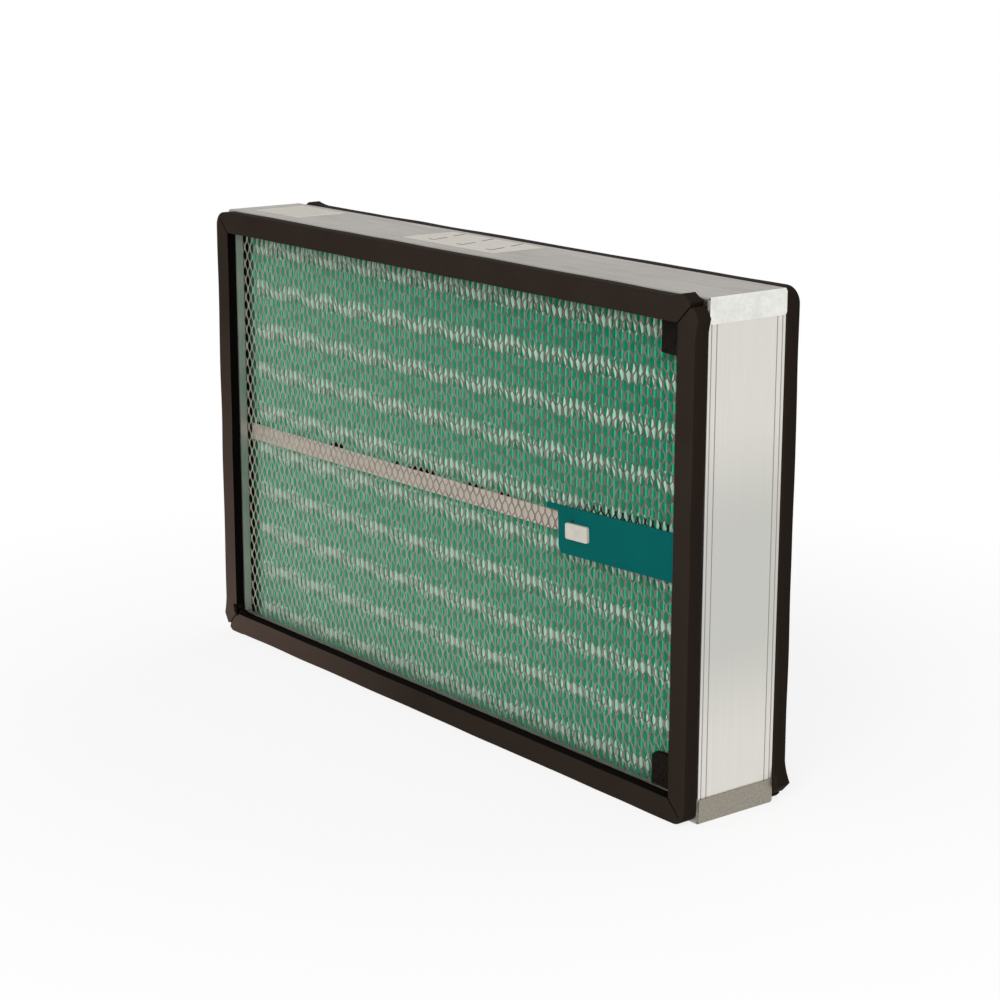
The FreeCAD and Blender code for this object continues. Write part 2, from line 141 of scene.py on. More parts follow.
# Painted shade: the grooves near the front and back edges are darkened
fromGroove = addNode(tree, "Math", {"operation": "SUBTRACT", 1: 23 * mm}, {0: across.outputs[0]})
fromGroove = addNode(tree, "Math", {"operation": "PINGPONG", 1: 2 * mm}, {0: fromGroove.outputs[0]})
inGroove = addNode(tree, "MapRange", {1: 0.5 * mm, 2: 0.25 * mm}, {0: fromGroove.outputs[0]})
atEdge = addNode(tree, "Math", {"operation": "COMPARE", 1: 25 * mm, 2: 2.6 * mm}, {0: across.outputs[0]})
paintedRecessShade = addNode(tree, "Math", {"operation": "MULTIPLY"}, {0: inGroove.outputs[0], 1: atEdge.outputs[0]})
metal = addNode(tree, "Mix", {"data_type": "RGBA", 7: toLinear(profileLook["grooveShade"])},
                {0: paintedRecessShade.outputs[0], 6: withReflectionBand.outputs[2]})
# Painted shade: nearly black on the faces between the guards and inboard of the end web
inside = addNode(tree, "Math", {"operation": "LESS_THAN", 1: profileLook["guardFace"] * mm}, {0: across.outputs[0]})
outward = addNode(tree, "Math", {"operation": "ABSOLUTE"}, {0: height.outputs["X"]})
inner = addNode(tree, "Math", {"operation": "LESS_THAN", 1: profileLook["webFace"] * mm}, {0: outward.outputs[0]})
shadedInside = addNode(tree, "Math", {"operation": "MULTIPLY"}, {0: inside.outputs[0], 1: inner.outputs[0]})
metal = addNode(tree, "Mix", {"data_type": "RGBA", 7: toLinear(profileLook["paintedRecessShade"])},
                {0: shadedInside.outputs[0], 6: metal.outputs[2]})
tree.links.new(metal.outputs[2], shader["Base Color"])
satin = addNode(tree, "MapRange", {3: 0.36, 4: 0.42}, {0: dieLines.outputs["Fac"]})
tree.links.new(satin.outputs[0], shader["Roughness"])
relief = addNode(tree, "Bump", {"Strength": 0.03, "Distance": 0.1 * mm}, {"Height": dieLines.outputs["Fac"]})
tree.links.new(relief.outputs[0], shader["Normal"])

# Expanded mild steel, slit and stretched: warm grey zinc, painted paler and cooler towards the lower left as a painted
# sheen, and black with painted shade where the strands run behind the upper edge of the tab
meshLook = {"light": "#83796D", "dark": "#62594E", "paleLight": "#B8B5A6", "paleDark": "#989487", "patch": 9,
            "tabShade": "#1C1712", "tabShadeFrom": 128, "tabShadeFull": 150, "tabShadeLow": 163, "tabShadeHigh": 170.2,
            "tabSlope": 0.035, "tabMiddle": 179}
expandedSteel, tree, shader, coords = startMaterial("expandedSteel", {"Metallic": 0.8, "Roughness": 0.5})
patches = addNode(tree, "TexNoise", {"Scale": 1 / (meshLook["patch"] * mm), "Detail": 4}, {"Vector": coords})
spread = addNode(tree, "MapRange", {1: 0.35, 2: 0.65}, {0: patches.outputs["Fac"]})
warm = addNode(tree, "Mix", {"data_type": "RGBA", 6: toLinear(meshLook["dark"]), 7: toLinear(meshLook["light"])},
               {0: spread.outputs[0]})
paleSheen = addNode(tree, "Mix",
               {"data_type": "RGBA", 6: toLinear(meshLook["paleDark"]), 7: toLinear(meshLook["paleLight"])},
               {0: spread.outputs[0]})
place = addNode(tree, "SeparateXYZ", {}, {0: coords})
# Painted sheen: paler and cooler towards the lower left
slant = addNode(tree, "Math", {"operation": "ADD"}, {0: place.outputs["X"], 1: place.outputs["Z"]})
sheenToLowerLeft = addNode(tree, "MapRange", {1: 0.4, 2: -0.1}, {0: slant.outputs[0]})
tint = addNode(tree, "Mix", {"data_type": "RGBA"}, {0: sheenToLowerLeft.outputs[0], 6: warm.outputs[2], 7: paleSheen.outputs[2]})
# Painted shade: on the front, the strands just above the upper edge of the tab are made black
fromTab = addNode(tree, "Math", {"operation": "SUBTRACT", 1: meshLook["tabMiddle"] * mm}, {0: place.outputs["X"]})
tabRise = addNode(tree, "Math", {"operation": "MULTIPLY", 1: meshLook["tabSlope"]}, {0: fromTab.outputs[0]})
level = addNode(tree, "Math", {"operation": "SUBTRACT"}, {0: place.outputs["Z"], 1: tabRise.outputs[0]})
besideTab = addNode(tree, "Math", {"operation": "COMPARE",
                                   1: (meshLook["tabShadeLow"] + meshLook["tabShadeHigh"]) / 2 * mm,
                                   2: (meshLook["tabShadeHigh"] - meshLook["tabShadeLow"]) / 2 * mm}, {0: level.outputs[0]})
overTab = addNode(tree, "MapRange", {1: meshLook["tabShadeFrom"] * mm, 2: meshLook["tabShadeFull"] * mm},
                  {0: place.outputs["X"]})
inTabShade = addNode(tree, "Math", {"operation": "MULTIPLY"}, {0: besideTab.outputs[0], 1: overTab.outputs[0]})
onFront = addNode(tree, "Math", {"operation": "LESS_THAN", 1: 0.0}, {0: place.outputs["Y"]})
inTabShade = addNode(tree, "Math", {"operation": "MULTIPLY"}, {0: inTabShade.outputs[0], 1: onFront.outputs[0]})
steel = addNode(tree, "Mix", {"data_type": "RGBA", 7: toLinear(meshLook["tabShade"])},
                {0: inTabShade.outputs[0], 6: tint.outputs[2]})
tree.links.new(steel.outputs[2], shader["Base Color"])
satin = addNode(tree, "MapRange", {3: 0.42, 4: 0.6}, {0: patches.outputs["Fac"]})
tree.links.new(satin.outputs[0], shader["Roughness"])

# Green cellulose filter paper, wet laid and pleated: matt and fibrous, painted paler along the folds as a painted
# highlight, paler towards the lower left as a painted sheen, and dark with painted shade in the gap beside the left
# profile
mediaLook = {"flank": "#24B48C", "shade": "#1AA480", "sheenPale": "#78CCAC", "sheenPaleShade": "#67BF9E", "foldHighlight": "#58BE98",
             "foldStart": 20.3, "foldFull": 21.3, "fibre": 1.1, "gapStart": -231, "gapFull": -234, "gap": "#12503A"}
filterPaper, tree, shader, coords = startMaterial(
    "filterPaper", {"Roughness": 0.88, "Specular IOR Level": 0.2, "Subsurface Weight": 0.3,
                    "Subsurface Radius": (1.2, 1.2, 1.2), "Subsurface Scale": 1 * mm})
fibres = addNode(tree, "TexNoise", {"Scale": 1 / (mediaLook["fibre"] * mm), "Detail": 4, "Roughness": 0.65},
                 {"Vector": coords})
mottle = addNode(tree, "MapRange", {1: 0.3, 2: 0.7}, {0: fibres.outputs["Fac"]})
fresh = addNode(tree, "Mix", {"data_type": "RGBA", 6: toLinear(mediaLook["shade"]), 7: toLinear(mediaLook["flank"])},
                {0: mottle.outputs[0]})
sheenPale = addNode(tree, "Mix",
                {"data_type": "RGBA", 6: toLinear(mediaLook["sheenPaleShade"]), 7: toLinear(mediaLook["sheenPale"])},
                {0: mottle.outputs[0]})
place = addNode(tree, "SeparateXYZ", {}, {0: coords})
# Painted sheen: paler towards the lower left
slant = addNode(tree, "Math", {"operation": "ADD"}, {0: place.outputs["X"], 1: place.outputs["Z"]})
sheenToLowerLeft = addNode(tree, "MapRange", {1: 0.42, 2: -0.15}, {0: slant.outputs[0]})
flank = addNode(tree, "Mix", {"data_type": "RGBA"}, {0: sheenToLowerLeft.outputs[0], 6: fresh.outputs[2], 7: sheenPale.outputs[2]})
reach = addNode(tree, "Math", {"operation": "ABSOLUTE"}, {0: place.outputs["Y"]})
# Painted highlight: paler along the pleat tips
foldHighlightBand = addNode(tree, "MapRange", {1: mediaLook["foldStart"] * mm, 2: mediaLook["foldFull"] * mm, 4: 0.5},
                   {0: reach.outputs[0]})
paper = addNode(tree, "Mix", {"data_type": "RGBA", 7: toLinear(mediaLook["foldHighlight"])},
                {0: foldHighlightBand.outputs[0], 6: flank.outputs[2]})
# Painted shade: dark in the gap beside the left profile
inGap = addNode(tree, "MapRange", {1: mediaLook["gapStart"] * mm, 2: mediaLook["gapFull"] * mm},
                {0: place.outputs["X"]})
paper = addNode(tree, "Mix", {"data_type": "RGBA", 7: toLinear(mediaLook["gap"])},
                {0: inGap.outputs[0], 6: paper.outputs[2]})
tree.links.new(paper.outputs[2], shader["Base Color"])
nap = addNode(tree, "Bump", {"Strength": 0.3, "Distance": 0.2 * mm}, {"Height": fibres.outputs["Fac"]})
tree.links.new(nap.outputs[0], shader["Normal"])

# Hot melt adhesive, laid as drops: milky pale green over the green paper, smooth and a little waxy
glueLook = {"thick": "#C6E3D4", "thin": "#9FD0B8", "patch": 4}
hotMelt, tree, shader, coords = startMaterial("hotMelt", {"Roughness": 0.42, "IOR": 1.48})
patches = addNode(tree, "TexNoise", {"Scale": 1 / (glueLook["patch"] * mm), "Detail": 2}, {"Vector": coords})
tint = addNode(tree, "Mix", {"data_type": "RGBA", 6: toLinear(glueLook["thin"]), 7: toLinear(glueLook["thick"])},
               {0: patches.outputs["Fac"]})
tree.links.new(tint.outputs[2], shader["Base Color"])

# Polyurethane casting resin, poured and set: flat cream with a slight sheen and small pinholes, nearly black with
# painted shade beside the end profiles
resinLook = {"light": "#CFC8B8", "dark": "#BBB3A2", "paintedRecessShade": "#14211A", "shadeFrom": 232, "patch": 14, "pinhole": 2.5}
castResin, tree, shader, coords = startMaterial("castResin", {"Roughness": 0.4, "IOR": 1.5})
patches = addNode(tree, "TexNoise", {"Scale": 1 / (resinLook["patch"] * mm), "Detail": 3}, {"Vector": coords})
tint = addNode(tree, "Mix", {"data_type": "RGBA", 6: toLinear(resinLook["dark"]), 7: toLinear(resinLook["light"])},
               {0: patches.outputs["Fac"]})
place = addNode(tree, "SeparateXYZ", {}, {0: coords})
# Painted shade: nearly black beside the end profiles
outward = addNode(tree, "Math", {"operation": "ABSOLUTE"}, {0: place.outputs["X"]})
inShade = addNode(tree, "MapRange", {1: (resinLook["shadeFrom"] - 1) * mm, 2: resinLook["shadeFrom"] * mm},
                {0: outward.outputs[0]})
resin = addNode(tree, "Mix", {"data_type": "RGBA", 7: toLinear(resinLook["paintedRecessShade"])},
                {0: inShade.outputs[0], 6: tint.outputs[2]})
tree.links.new(resin.outputs[2], shader["Base Color"])
pinholes = addNode(tree, "TexVoronoi", {"Scale": 1 / (resinLook["pinhole"] * mm)}, {"Vector": coords})
relief = addNode(tree, "Bump", {"Strength": 0.1, "Distance": 0.2 * mm}, {"Height": pinholes.outputs["Distance"]})
tree.links.new(relief.outputs[0], shader["Normal"])

# Closed-cell EPDM sponge strip, slit from sheet: matt brown black with fine cells, painted lighter at the lower left
# corner as a painted sheen, darker on its sides and black on its inner sides as painted shade, black in the mitres and
# where the lower left corner is torn
foamLook = {"base": "#2C241E", "deep": "#231C17", "cornerSheen": "#4E413A", "side": "#211A15", "inner": "#060403",
            "cell": 1.2, "patch": 30, "sheenX": -0.25, "sheenReach": 0.24, "innerX": 233.1, "innerZ": 138.1,
            "middle": 152.5, "half": 7, "seam": 0.45, "seamEnd": 9.2, "tear": (-0.2335, -0.04, 0.0175),
            "tearReach": 7.6, "tearRagged": 3}
spongeRubber, tree, shader, coords = startMaterial(
    "spongeRubber", {"Roughness": 0.85, "Specular IOR Level": 0.06})
patches = addNode(tree, "TexNoise", {"Scale": 1 / (foamLook["patch"] * mm), "Detail": 3}, {"Vector": coords})
tint = addNode(tree, "Mix", {"data_type": "RGBA", 6: toLinear(foamLook["deep"]), 7: toLinear(foamLook["base"])},
               {0: patches.outputs["Fac"]})
# Painted sheen: lighter towards the lower left corner
fromCorner = addNode(tree, "VectorMath", {"operation": "DISTANCE", 1: (foamLook["sheenX"], -0.04, 0)}, {0: coords})
sheening = addNode(tree, "MapRange", {1: foamLook["sheenReach"], 2: 0.0}, {0: fromCorner.outputs["Value"]})
cornerSheen = addNode(tree, "Mix", {"data_type": "RGBA", 7: toLinear(foamLook["cornerSheen"])},
                {0: sheening.outputs[0], 6: tint.outputs[2]})
place = addNode(tree, "SeparateXYZ", {}, {0: coords})
across = addNode(tree, "Math", {"operation": "ABSOLUTE"}, {0: place.outputs["X"]})
across = addNode(tree, "Math", {"operation": "SUBTRACT", 1: foamLook["innerX"] * mm}, {0: across.outputs[0]})
upward = addNode(tree, "Math", {"operation": "SUBTRACT", 1: foamLook["middle"] * mm}, {0: place.outputs["Z"]})
upward = addNode(tree, "Math", {"operation": "ABSOLUTE"}, {0: upward.outputs[0]})
upward = addNode(tree, "Math", {"operation": "SUBTRACT", 1: foamLook["innerZ"] * mm}, {0: upward.outputs[0]})
fromInside = addNode(tree, "Math", {"operation": "MAXIMUM"}, {0: across.outputs[0], 1: upward.outputs[0]})
# Painted shade: darker on the faces that turn away from the front and back
normal = addNode(tree, "NewGeometry").outputs["Normal"]
facing = addNode(tree, "SeparateXYZ", {}, {0: normal})
facing = addNode(tree, "Math", {"operation": "ABSOLUTE"}, {0: facing.outputs["Y"]})
sideFacing = addNode(tree, "MapRange", {1: 0.8, 2: 0.4}, {0: facing.outputs[0]})
shadedSides = addNode(tree, "Mix", {"data_type": "RGBA", 7: toLinear(foamLook["side"])},
                {0: sideFacing.outputs[0], 6: cornerSheen.outputs[2]})
# Painted shade: the sides within half a strip of the inner edge are made black
inward = addNode(tree, "Math", {"operation": "LESS_THAN", 1: foamLook["half"] * mm}, {0: fromInside.outputs[0]})
innerSideShade = addNode(tree, "Math", {"operation": "MULTIPLY"}, {0: sideFacing.outputs[0], 1: inward.outputs[0]})
offSeam = addNode(tree, "Math", {"operation": "SUBTRACT"}, {0: across.outputs[0], 1: upward.outputs[0]})
offSeam = addNode(tree, "Math", {"operation": "ABSOLUTE"}, {0: offSeam.outputs[0]})
seam = addNode(tree, "MapRange", {1: foamLook["seam"] * 2 * mm, 2: foamLook["seam"] * mm}, {0: offSeam.outputs[0]})
slit = addNode(tree, "Math", {"operation": "LESS_THAN", 1: foamLook["seamEnd"] * mm}, {0: fromInside.outputs[0]})
seam = addNode(tree, "Math", {"operation": "MULTIPLY"}, {0: seam.outputs[0], 1: slit.outputs[0]})
fromTear = addNode(tree, "VectorMath", {"operation": "DISTANCE", 1: foamLook["tear"]}, {0: coords})
ragged = addNode(tree, "TexNoise", {"Scale": 1 / (foamLook["tearRagged"] * mm), "Detail": 2}, {"Vector": coords})
tear = addNode(tree, "Math", {"operation": "MULTIPLY_ADD", 1: foamLook["tearRagged"] * 2 * mm},
               {0: ragged.outputs["Fac"], 2: fromTear.outputs["Value"]})
torn = addNode(tree, "MapRange", {1: foamLook["tearReach"] * mm, 2: (foamLook["tearReach"] - 0.6) * mm},
               {0: tear.outputs[0]})
black = addNode(tree, "Math", {"operation": "MAXIMUM"}, {0: innerSideShade.outputs[0], 1: seam.outputs[0]})
black = addNode(tree, "Math", {"operation": "MAXIMUM"}, {0: black.outputs[0], 1: torn.outputs[0]})
sponge = addNode(tree, "Mix", {"data_type": "RGBA", 7: toLinear(foamLook["inner"])},
                 {0: black.outputs[0], 6: shadedSides.outputs[2]})
tree.links.new(sponge.outputs[2], shader["Base Color"])
cells = addNode(tree, "TexVoronoi", {"Scale": 1 / (foamLook["cell"] * mm)}, {"Vector": coords})
relief = addNode(tree, "Bump", {"Strength": 0.25, "Distance": 0.3 * mm}, {"Height": cells.outputs["Distance"]})
tree.links.new(relief.outputs[0], shader["Normal"])

# Crumbs of the same sponge, torn off, and dark pieces that stand in as painted shade for gaps: dark red brown and rough
crumbAndGapLook = {"light": "#110906", "dark": "#050302", "cell": 0.8}
crumbAndGapShade, tree, shader, coords = startMaterial("crumbAndGapShade", {"Roughness": 0.9, "Specular IOR Level": 0.1})
cells = addNode(tree, "TexVoronoi", {"Scale": 1 / (crumbAndGapLook["cell"] * mm)}, {"Vector": coords})
tint = addNode(tree, "Mix", {"data_type": "RGBA", 6: toLinear(crumbAndGapLook["dark"]), 7: toLinear(crumbAndGapLook["light"])},
               {0: cells.outputs["Distance"]})
tree.links.new(tint.outputs[2], shader["Base Color"])

# Grey board, pressed and slit: flat pinkish beige with short fibres and a few scuffs
boardLook = {"light": "#D1C5BB", "dark": "#C1B5AA", "fibre": 1.5}
greyBoard, tree, shader, coords = startMaterial("greyBoard", {"Roughness": 0.85, "Specular IOR Level": 0.3})
along = addNode(tree, "Mapping", {"Scale": (0.25, 1, 1)}, {"Vector": coords})
fibres = addNode(tree, "TexNoise", {"Scale": 1 / (boardLook["fibre"] * mm), "Detail": 5}, {"Vector": along.outputs[0]})
tint = addNode(tree, "Mix", {"data_type": "RGBA", 6: toLinear(boardLook["dark"]), 7: toLinear(boardLook["light"])},
               {0: fibres.outputs["Fac"]})
tree.links.new(tint.outputs[2], shader["Base Color"])
nap = addNode(tree, "Bump", {"Strength": 0.15, "Distance": 0.2 * mm}, {"Height": fibres.outputs["Fac"]})
tree.links.new(nap.outputs[0], shader["Normal"])

# Polypropylene sheet, extruded and die cut: deep teal with a soft sheen and a fine pebble
tabLook = {"light": "#005956", "dark": "#004F4C", "patch": 25, "pebble": 1.5}
tealPolypropylene, tree, shader, coords = startMaterial(
    "tealPolypropylene", {"Roughness": 0.5, "IOR": 1.49, "Specular IOR Level": 0.03})
patches = addNode(tree, "TexNoise", {"Scale": 1 / (tabLook["patch"] * mm), "Detail": 2}, {"Vector": coords})
tint = addNode(tree, "Mix", {"data_type": "RGBA", 6: toLinear(tabLook["dark"]), 7: toLinear(tabLook["light"])},
               {0: patches.outputs["Fac"]})
tree.links.new(tint.outputs[2], shader["Base Color"])
pebble = addNode(tree, "TexNoise", {"Scale": 1 / (tabLook["pebble"] * mm), "Detail": 1}, {"Vector": coords})
relief = addNode(tree, "Bump", {"Strength": 0.06, "Distance": 0.2 * mm}, {"Height": pebble.outputs["Fac"]})
tree.links.new(relief.outputs[0], shader["Normal"])

# Nylon, injection moulded: off-white, smooth, very slightly mottled
clipLook = {"light": "#BEBAAF", "dark": "#B2AEA3", "patch": 5}
mouldedNylon, tree, shader, coords = startMaterial("mouldedNylon", {"Roughness": 0.38, "IOR": 1.53})
patches = addNode(tree, "TexNoise", {"Scale": 1 / (clipLook["patch"] * mm), "Detail": 2}, {"Vector": coords})
tint = addNode(tree, "Mix", {"data_type": "RGBA", 6: toLinear(clipLook["dark"]), 7: toLinear(clipLook["light"])},
               {0: patches.outputs["Fac"]})
tree.links.new(tint.outputs[2], shader["Base Color"])

# Open polyether foam, cut in blocks: matt black with an uneven, porous face
padLook = {"light": "#201A16", "dark": "#080605", "pore": 1.4}
blackFoam, tree, shader, coords = startMaterial("blackFoam", {"Roughness": 0.95, "Specular IOR Level": 0.08})
pores = addNode(tree, "TexVoronoi", {"Scale": 1 / (padLook["pore"] * mm)}, {"Vector": coords})
tint = addNode(tree, "Mix", {"data_type": "RGBA", 6: toLinear(padLook["dark"]), 7: toLinear(padLook["light"])},
               {0: pores.outputs["Distance"]})
tree.links.new(tint.outputs[2], shader["Base Color"])
relief = addNode(tree, "Bump", {"Strength": 0.5, "Distance": 0.4 * mm}, {"Height": pores.outputs["Distance"]})
tree.links.new(relief.outputs[0], shader["Normal"])

# Label paper, coated one side and rolled on: flat off-white with a faint mottle, ruled with three leaning lines of
# two dashes on the centre label and with fine faint lines on the left one
labelLook = {"light": "#DBD6CD", "dark": "#D0CBC1", "ink": "#5E564F", "patch": 7, "lineSpacing": 29.8, "firstLine": -33.9,
             "lean": 0.3, "lineWidth": 1.9, "hookLength": 6, "hookPlace": -10, "hookWidth": 1.8, "dashMiddle": 6.6,
             "dashFrom": 3.4, "dashTo": 16.6, "fineSpacing": 3.6, "fineWidth": 1.1, "fineInk": 0.22}
coatedPaper, tree, shader, coords = startMaterial("coatedPaper", {"Roughness": 0.6, "Specular IOR Level": 0.4})
patches = addNode(tree, "TexNoise", {"Scale": 1 / (labelLook["patch"] * mm), "Detail": 3}, {"Vector": coords})
tint = addNode(tree, "Mix", {"data_type": "RGBA", 6: toLinear(labelLook["dark"]), 7: toLinear(labelLook["light"])},
               {0: patches.outputs["Fac"]})
place = addNode(tree, "SeparateXYZ", {}, {0: coords})
leaning = addNode(tree, "Math", {"operation": "MULTIPLY_ADD", 1: labelLook["lean"]},
                  {0: place.outputs["Y"], 2: place.outputs["X"]})
alongLabel = addNode(tree, "Math", {"operation": "SUBTRACT",
                                    1: (labelLook["firstLine"] - labelLook["hookLength"] - 1) * mm},
                     {0: leaning.outputs[0]})
inPanel = addNode(tree, "Math", {"operation": "WRAP", 1: labelLook["lineSpacing"] * mm, 2: 0.0},
                  {0: alongLabel.outputs[0]})
onLine = addNode(tree, "Math", {"operation": "COMPARE", 1: (labelLook["hookLength"] + 1) * mm,
                                2: labelLook["lineWidth"] / 2 * mm}, {0: inPanel.outputs[0]})
onLabel = addNode(tree, "Math", {"operation": "COMPARE", 1: -7 * mm, 2: 42 * mm}, {0: place.outputs["X"]})
fromMiddle = addNode(tree, "Math", {"operation": "SUBTRACT", 1: labelLook["dashMiddle"] * mm},
                     {0: place.outputs["Y"]})
fromMiddle = addNode(tree, "Math", {"operation": "ABSOLUTE"}, {0: fromMiddle.outputs[0]})
inDash = addNode(tree, "Math", {"operation": "COMPARE", 1: (labelLook["dashFrom"] + labelLook["dashTo"]) / 2 * mm,
                                2: (labelLook["dashTo"] - labelLook["dashFrom"]) / 2 * mm}, {0: fromMiddle.outputs[0]})
dashes = addNode(tree, "Math", {"operation": "MULTIPLY"}, {0: onLine.outputs[0], 1: inDash.outputs[0]})
besideLine = addNode(tree, "Math", {"operation": "COMPARE", 1: (labelLook["hookLength"] / 2 + 1) * mm,
                                    2: labelLook["hookLength"] / 2 * mm}, {0: inPanel.outputs[0]})
atHook = addNode(tree, "Math", {"operation": "COMPARE", 1: labelLook["hookPlace"] * mm,
                                2: labelLook["hookWidth"] / 2 * mm}, {0: place.outputs["Y"]})
hooks = addNode(tree, "Math", {"operation": "MULTIPLY"}, {0: besideLine.outputs[0], 1: atHook.outputs[0]})
ruled = addNode(tree, "Math", {"operation": "MAXIMUM"}, {0: dashes.outputs[0], 1: hooks.outputs[0]})
ruled = addNode(tree, "Math", {"operation": "MULTIPLY"}, {0: ruled.outputs[0], 1: onLabel.outputs[0]})
fineLines = addNode(tree, "Math", {"operation": "PINGPONG", 1: labelLook["fineSpacing"] / 2 * mm},
                    {0: place.outputs["Y"]})
fineLines = addNode(tree, "Math", {"operation": "LESS_THAN", 1: labelLook["fineWidth"] / 2 * mm},
                    {0: fineLines.outputs[0]})
onLeft = addNode(tree, "Math", {"operation": "COMPARE", 1: -204 * mm, 2: 20 * mm}, {0: place.outputs["X"]})
broken = addNode(tree, "MapRange", {1: 0.42, 2: 0.52, 4: labelLook["fineInk"]}, {0: patches.outputs["Fac"]})
fineLines = addNode(tree, "Math", {"operation": "MULTIPLY"}, {0: fineLines.outputs[0], 1: onLeft.outputs[0]})
fineLines = addNode(tree, "Math", {"operation": "MULTIPLY"}, {0: fineLines.outputs[0], 1: broken.outputs[0]})
ruled = addNode(tree, "Math", {"operation": "MAXIMUM"}, {0: ruled.outputs[0], 1: fineLines.outputs[0]})
printed = addNode(tree, "Mix", {"data_type": "RGBA", 7: toLinear(labelLook["ink"])},
                  {0: ruled.outputs[0], 6: tint.outputs[2]})
tree.links.new(printed.outputs[2], shader["Base Color"])
print("materials made")


def selectOnly(piece):
    bpy.ops.object.select_all(action="DESELECT")
    piece.select_set(True)
    bpy.context.view_layer.objects.active = piece


def applyPlace(piece):
    selectOnly(piece)
    bpy.ops.object.transform_apply(location=True, rotation=True, scale=True)


def applyModifier(piece, kind, settings):
    selectOnly(piece)
    modifier = piece.modifiers.new(kind.lower(), kind)
    for name, value in settings.items():
        setattr(modifier, name, value)
    bpy.ops.object.modifier_apply(modifier=modifier.name)


# Selects, in edit mode, the vertices, edges or faces whose place passes the test
def pick(piece, mode, test):
    bpy.ops.mesh.select_mode(type=mode)
    bpy.ops.mesh.select_all(action="DESELECT")
    bpy.ops.object.mode_set(mode="OBJECT")
    mesh = piece.data
    if mode == "VERT":
        for vertex in mesh.vertices:
            vertex.select = test(vertex.co)
    elif mode == "EDGE":
        for edge in mesh.edges:
            edge.select = all(test(mesh.vertices[i].co) for i in edge.vertices)
    else:
        for face in mesh.polygons:
            face.select = test(face.center, face.normal)
    bpy.ops.object.mode_set(mode="EDIT")


def finishPiece(piece, name, material, replaced):
    piece.name = name
    piece.data.name = name
    piece.data.materials.clear()
    piece.data.materials.append(material)
    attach(piece, "root")
    if replaced:
        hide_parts(*replaced)
    print("piece", name, len(piece.data.polygons), "faces")


# One opening of the expanded mesh, with a twin half a pitch on, repeated over the sheet and trimmed to it
expandedMesh = {"pitchWide": 6.5, "pitchHigh": 11.7, "strand": 0.52, "bondTall": 2.7, "bondWide": 1.1,
                "gauge": 0.3, "twist": 0.3, "middleX": -51.7, "middleZ": 151.25}


def makeExpandedMesh(name, nodeName):
    low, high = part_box(nodeName)
    wide, tall = expandedMesh["pitchWide"] * mm, expandedMesh["pitchHigh"] * mm
    middle = (low.y + high.y) / 2
    startX = expandedMesh["middleX"] * mm
    startX -= math.ceil((startX - low.x) / wide) * wide
    startZ = expandedMesh["middleZ"] * mm
    startZ -= math.ceil((startZ - low.z) / tall) * tall
    peak = (tall - expandedMesh["bondTall"] * mm) / 2
    bpy.ops.object.select_all(action="DESELECT")
    bpy.ops.mesh.primitive_circle_add(vertices=6, radius=1, fill_type="NGON",
                                      location=(startX, middle, startZ), rotation=(math.pi / 2, 0, 0))
    sheet = bpy.context.object
    sheet.scale = (wide / 2 / math.cos(math.radians(30)), peak, 1)
    applyPlace(sheet)
    bpy.ops.object.mode_set(mode="EDIT")
    pick(sheet, "VERT", lambda p: abs(p.x - startX) > 0.3 * wide)
    bpy.ops.transform.resize(value=(1, 1, expandedMesh["bondTall"] * mm / peak), center_override=(startX, middle, startZ))
    bpy.ops.mesh.select_all(action="SELECT")
    bpy.ops.mesh.inset(thickness=expandedMesh["strand"] * mm / 2)
    bpy.ops.mesh.delete(type="FACE")
    # The bonds are two strands wide, and each is twisted: its left edge stands forward and its right edge back
    widen = (expandedMesh["bondWide"] - expandedMesh["strand"]) / 2 * mm
    for side in (-1, 1):
        pick(sheet, "VERT", lambda p: 0.3 * wide < side * (p.x - startX) < 0.48 * wide)
        bpy.ops.transform.translate(value=(-side * widen, -side * expandedMesh["twist"] * mm, 0))
    bpy.ops.mesh.select_all(action="SELECT")
    bpy.ops.mesh.duplicate()
    bpy.ops.transform.translate(value=(wide / 2, 0, tall / 2))
    bpy.ops.object.mode_set(mode="OBJECT")
    across = math.ceil((high.x - startX) / wide) + 1
    up = math.ceil((high.z - startZ) / tall) + 1
    applyModifier(sheet, "ARRAY", {"count": across, "use_relative_offset": False, "use_constant_offset": True,
                                   "constant_offset_displace": (wide, 0, 0)})
    applyModifier(sheet, "ARRAY", {"count": up, "use_relative_offset": False, "use_constant_offset": True,
                                   "constant_offset_displace": (0, 0, tall)})
    bpy.ops.object.mode_set(mode="EDIT")
    bpy.ops.mesh.select_all(action="SELECT")
    bpy.ops.mesh.remove_doubles(threshold=0.02 * mm)
    for point, normal in ((low, (-1, 0, 0)), (low, (0, 0, -1)), (high, (1, 0, 0)), (high, (0, 0, 1))):
        bpy.ops.mesh.select_all(action="SELECT")
        bpy.ops.mesh.bisect(plane_co=point, plane_no=normal, clear_outer=True)
    bpy.ops.mesh.select_all(action="SELECT")
    bpy.ops.mesh.normals_make_consistent(inside=False)
    bpy.ops.object.mode_set(mode="OBJECT")
    applyModifier(sheet, "SOLIDIFY", {"thickness": expandedMesh["gauge"] * mm, "offset": 0.0})
    finishPiece(sheet, name, expandedSteel, [nodeName])
    return sheet


frontMesh = makeExpandedMesh("front_expanded_mesh", "front_guard")
rearMesh = makeExpandedMesh("rear_expanded_mesh", "rear_guard")


# A drop of hot melt, pinched at its ends, on every pleat tip of every glue line
glueDrop = {"height": 12.5, "width": 3.0, "depth": 2.6, "lean": 0.14, "wander": 1.1, "pleats": 83, "dryPleats": 2,
            "lines": 10, "pitch": 29, "middle": 150}


